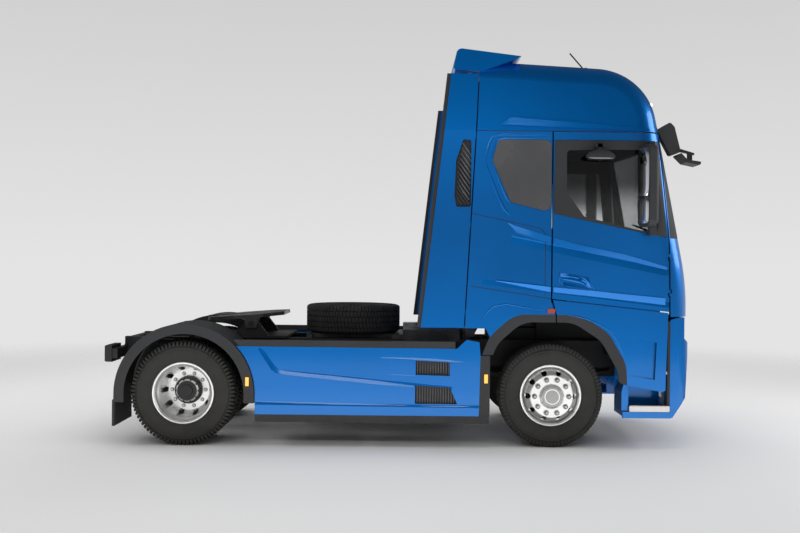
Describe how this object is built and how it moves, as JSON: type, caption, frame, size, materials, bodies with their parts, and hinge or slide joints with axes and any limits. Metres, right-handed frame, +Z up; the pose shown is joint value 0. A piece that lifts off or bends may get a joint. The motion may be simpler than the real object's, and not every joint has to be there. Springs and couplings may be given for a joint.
{
  "type": "semi truck tractor unit",
  "caption": "High-roof sleeper-cab road tractor on single steered front wheels and twin rear wheels, with opening doors, tilting cab, lifting nose flap and a rocking fifth-wheel coupling.",
  "frame": {"origin": "middle of the footprint on the ground", "axes": "+X forward, +Y to the left side, +Z up"},
  "size_m": [5.97, 3.0268, 3.9221],
  "materials": {
    "body_paint": "gloss metallic blue",
    "dark_trim": "grained dark grey",
    "rubber": "matt",
    "tyre": "matt",
    "alloy": "polished",
    "tinted_glass": "tinted",
    "dark_panel": "gloss black",
    "chassis": "satin dark grey",
    "cast": "rough",
    "steel": "worn",
    "tank": "plain",
    "fabric": "woven",
    "inner_plastic": "grained",
    "red_lamp": "clear red",
    "amber_lamp": "clear amber",
    "clear_lamp": "clear",
    "tread": "checker plate"
  },
  "bodies": {
    "chassis": {"frame": "chassis", "front_axle": "cast", "rear_axle": "cast", "engine": "cast", "radiator": "chassis", "fuel_tank": "tank", "silencer": "steel", "side_skirts": "body_paint", "skirt_trims": "dark_trim", "deck": "steel", "spare_tyre": "tyre", "spare_rim": "alloy", "fifth_wheel_base": "chassis", "rear_fenders": "dark_trim", "tail_lamps": "red_lamp", "bumper": "body_paint", "headlamps": "clear_lamp", "steps": "body_paint", "step_treads": "tread", "side_lamps": "amber_lamp"},
    "fifth_wheel": {"fifth_wheel_plate": "steel"},
    "steer_left": {"knuckle_left": "cast"},
    "steer_right": {"knuckle_right": "cast"},
    "track_rod": {"tie_rod": "steel"},
    "wheel_front_left": {"tyre_front_left": "tyre", "rim_front_left": "alloy"},
    "wheel_front_right": {"tyre_front_right": "tyre", "rim_front_right": "alloy"},
    "wheels_rear_left": {"tyres_rear_left": "tyre", "rims_rear_left": "alloy"},
    "wheels_rear_right": {"tyres_rear_right": "tyre", "rims_rear_right": "alloy"},
    "cab": {"cab_floor": "chassis", "cab_rear_wall": "body_paint", "cab_sides": "body_paint", "cab_roof": "body_paint", "cab_front": "body_paint", "windscreen": "tinted_glass", "side_windows": "dark_panel", "roof_spoiler": "body_paint", "side_deflectors": "body_paint", "cab_trims": "dark_trim", "arch_lamps": "amber_lamp", "seats": "fabric", "dashboard": "inner_plastic"},
    "service_flap": {"front_flap": "body_paint", "grille": "dark_trim"},
    "right_door": {"door_right": "body_paint", "door_trim_right": "dark_trim", "door_glass_right": "tinted_glass"},
    "left_door": {"door_left": "body_paint", "door_trim_left": "dark_trim", "door_glass_left": "tinted_glass"}
  },
  "joints": [
    {"name": "steer", "type": "hinge", "parent": "chassis", "child": "steer_left", "pos_m": [1.512, 0.87, 0.51], "axis": [0, 0, 1], "range_deg": [-40, 40]},
    {"name": "steer_follow", "type": "hinge", "parent": "chassis", "child": "steer_right", "pos_m": [1.512, -0.87, 0.51], "axis": [0, 0, 1], "range_deg": [-40, 40]},
    {"name": "track_rod_swing", "type": "hinge", "parent": "steer_left", "child": "track_rod", "pos_m": [1.322, 0.87, 0.438], "axis": [0, 0, 1], "range_deg": [-40, 40]},
    {"name": "front_left_spin", "type": "hinge", "parent": "steer_left", "child": "wheel_front_left", "pos_m": [1.512, 1.01, 0.51], "axis": [0, 1, 0], "continuous": true},
    {"name": "front_right_spin", "type": "hinge", "parent": "steer_right", "child": "wheel_front_right", "pos_m": [1.512, -1.01, 0.51], "axis": [0, 1, 0], "continuous": true},
    {"name": "rear_left_spin", "type": "hinge", "parent": "chassis", "child": "wheels_rear_left", "pos_m": [-2.088, 0.908, 0.51], "axis": [0, 1, 0], "continuous": true},
    {"name": "rear_right_spin", "type": "hinge", "parent": "chassis", "child": "wheels_rear_right", "pos_m": [-2.088, -0.908, 0.51], "axis": [0, 1, 0], "continuous": true},
    {"name": "cab_tilt", "type": "hinge", "parent": "chassis", "child": "cab", "pos_m": [2.8, 0, 0.93], "axis": [0, 1, 0], "range_deg": [0, 60]},
    {"name": "flap_lift", "type": "hinge", "parent": "cab", "child": "service_flap", "pos_m": [2.874, 0, 2.046], "axis": [0, -1, 0], "range_deg": [0, 80]},
    {"name": "right_door_swing", "type": "hinge", "parent": "cab", "child": "right_door", "pos_m": [2.6455, -1.243, 1.7], "axis": [0, 0, 1], "range_deg": [0, 75]},
    {"name": "left_door_swing", "type": "hinge", "parent": "cab", "child": "left_door", "pos_m": [2.6455, 1.243, 1.7], "axis": [0, 0, -1], "range_deg": [0, 75]},
    {"name": "fifth_wheel_rock", "type": "hinge", "parent": "chassis", "child": "fifth_wheel", "pos_m": [-1.54, 0, 1.15], "axis": [0, 1, 0], "range_deg": [0, 18]}
  ],
  "couplings": [
    {"joint": "steer_follow", "follows": "steer", "ratio": 1},
    {"joint": "track_rod_swing", "follows": "steer", "ratio": -1}
  ]
}
